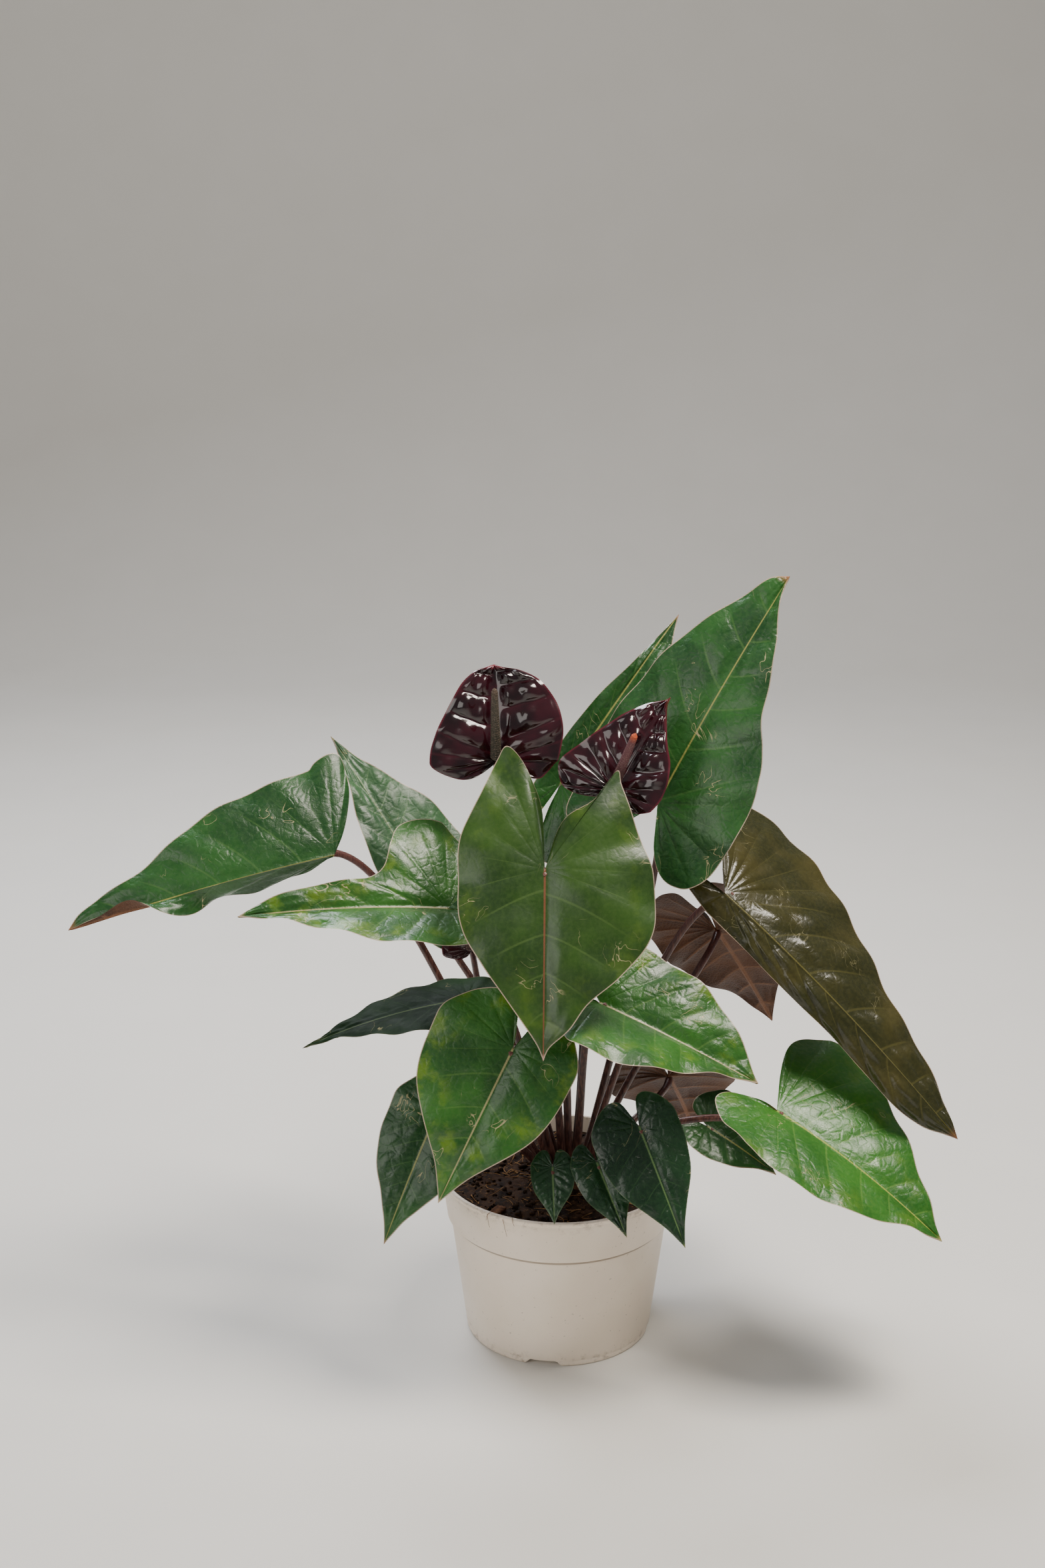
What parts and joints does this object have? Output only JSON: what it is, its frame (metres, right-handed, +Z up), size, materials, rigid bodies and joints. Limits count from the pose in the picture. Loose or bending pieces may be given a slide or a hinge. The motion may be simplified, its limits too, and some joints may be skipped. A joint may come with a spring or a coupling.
{
  "type": "potted anthurium",
  "caption": "Anthurium with large heart-shaped leaves on slender stems and dark glossy flowers, growing in soil in a tapered plastic pot with a collar.",
  "frame": {"origin": "centre of the pot's underside, on the surface it stands on", "axes": "+Z up out of the pot; +X along the plant's widest spread; -Y towards the side the largest leaf faces"},
  "size_m": [0.523, 0.214, 0.471],
  "materials": {
    "pot_plastic": "satin",
    "peat_soil": "matte",
    "crown": "matte",
    "leaf_green": "satin",
    "leaf_bright": "satin",
    "leaf_bronze": "gloss",
    "petiole": "satin",
    "peduncle": "satin",
    "spathe": "gloss",
    "spadix": "matte",
    "bark": "matte"
  },
  "bodies": {
    "root": {"pot": "pot_plastic", "crown": "crown", "soil": "peat_soil", "leaf_blade_A": "leaf_green", "petiole_A": "petiole", "leaf_blade_B": "leaf_green", "petiole_B": "petiole", "leaf_blade_C": "leaf_green", "petiole_C": "petiole", "leaf_blade_D": "leaf_green", "petiole_D": "petiole", "leaf_blade_E": "leaf_green", "petiole_E": "petiole", "leaf_blade_F": "leaf_green", "petiole_F": "petiole", "leaf_blade_G": "leaf_bronze", "petiole_G": "petiole", "leaf_blade_H": "leaf_green", "petiole_H": "petiole", "leaf_blade_I": "leaf_green", "petiole_I": "petiole", "leaf_blade_J": "leaf_bright", "petiole_J": "petiole", "leaf_blade_K": "leaf_green", "petiole_K": "petiole", "leaf_blade_L": "leaf_green", "petiole_L": "petiole", "leaf_blade_M": "leaf_green", "petiole_M": "petiole", "leaf_blade_N": "leaf_green", "petiole_N": "petiole", "leaf_blade_O": "leaf_green", "petiole_O": "petiole", "leaf_blade_P": "leaf_green", "petiole_P": "petiole", "leaf_blade_Q": "leaf_green", "petiole_Q": "petiole", "leaf_blade_R": "leaf_green", "petiole_R": "petiole", "leaf_blade_S": "leaf_green", "petiole_S": "petiole", "spathe_1": "spathe", "peduncle_1": "peduncle", "spadix_1": "spadix", "spathe_2": "spathe", "peduncle_2": "peduncle", "spadix_2": "spadix", "spathe_3": "spathe", "peduncle_3": "peduncle", "spadix_3": "spadix", "bark_chip_1": "bark", "bark_chip_2": "bark", "bark_chip_3": "bark"}
  },
  "joints": []
}
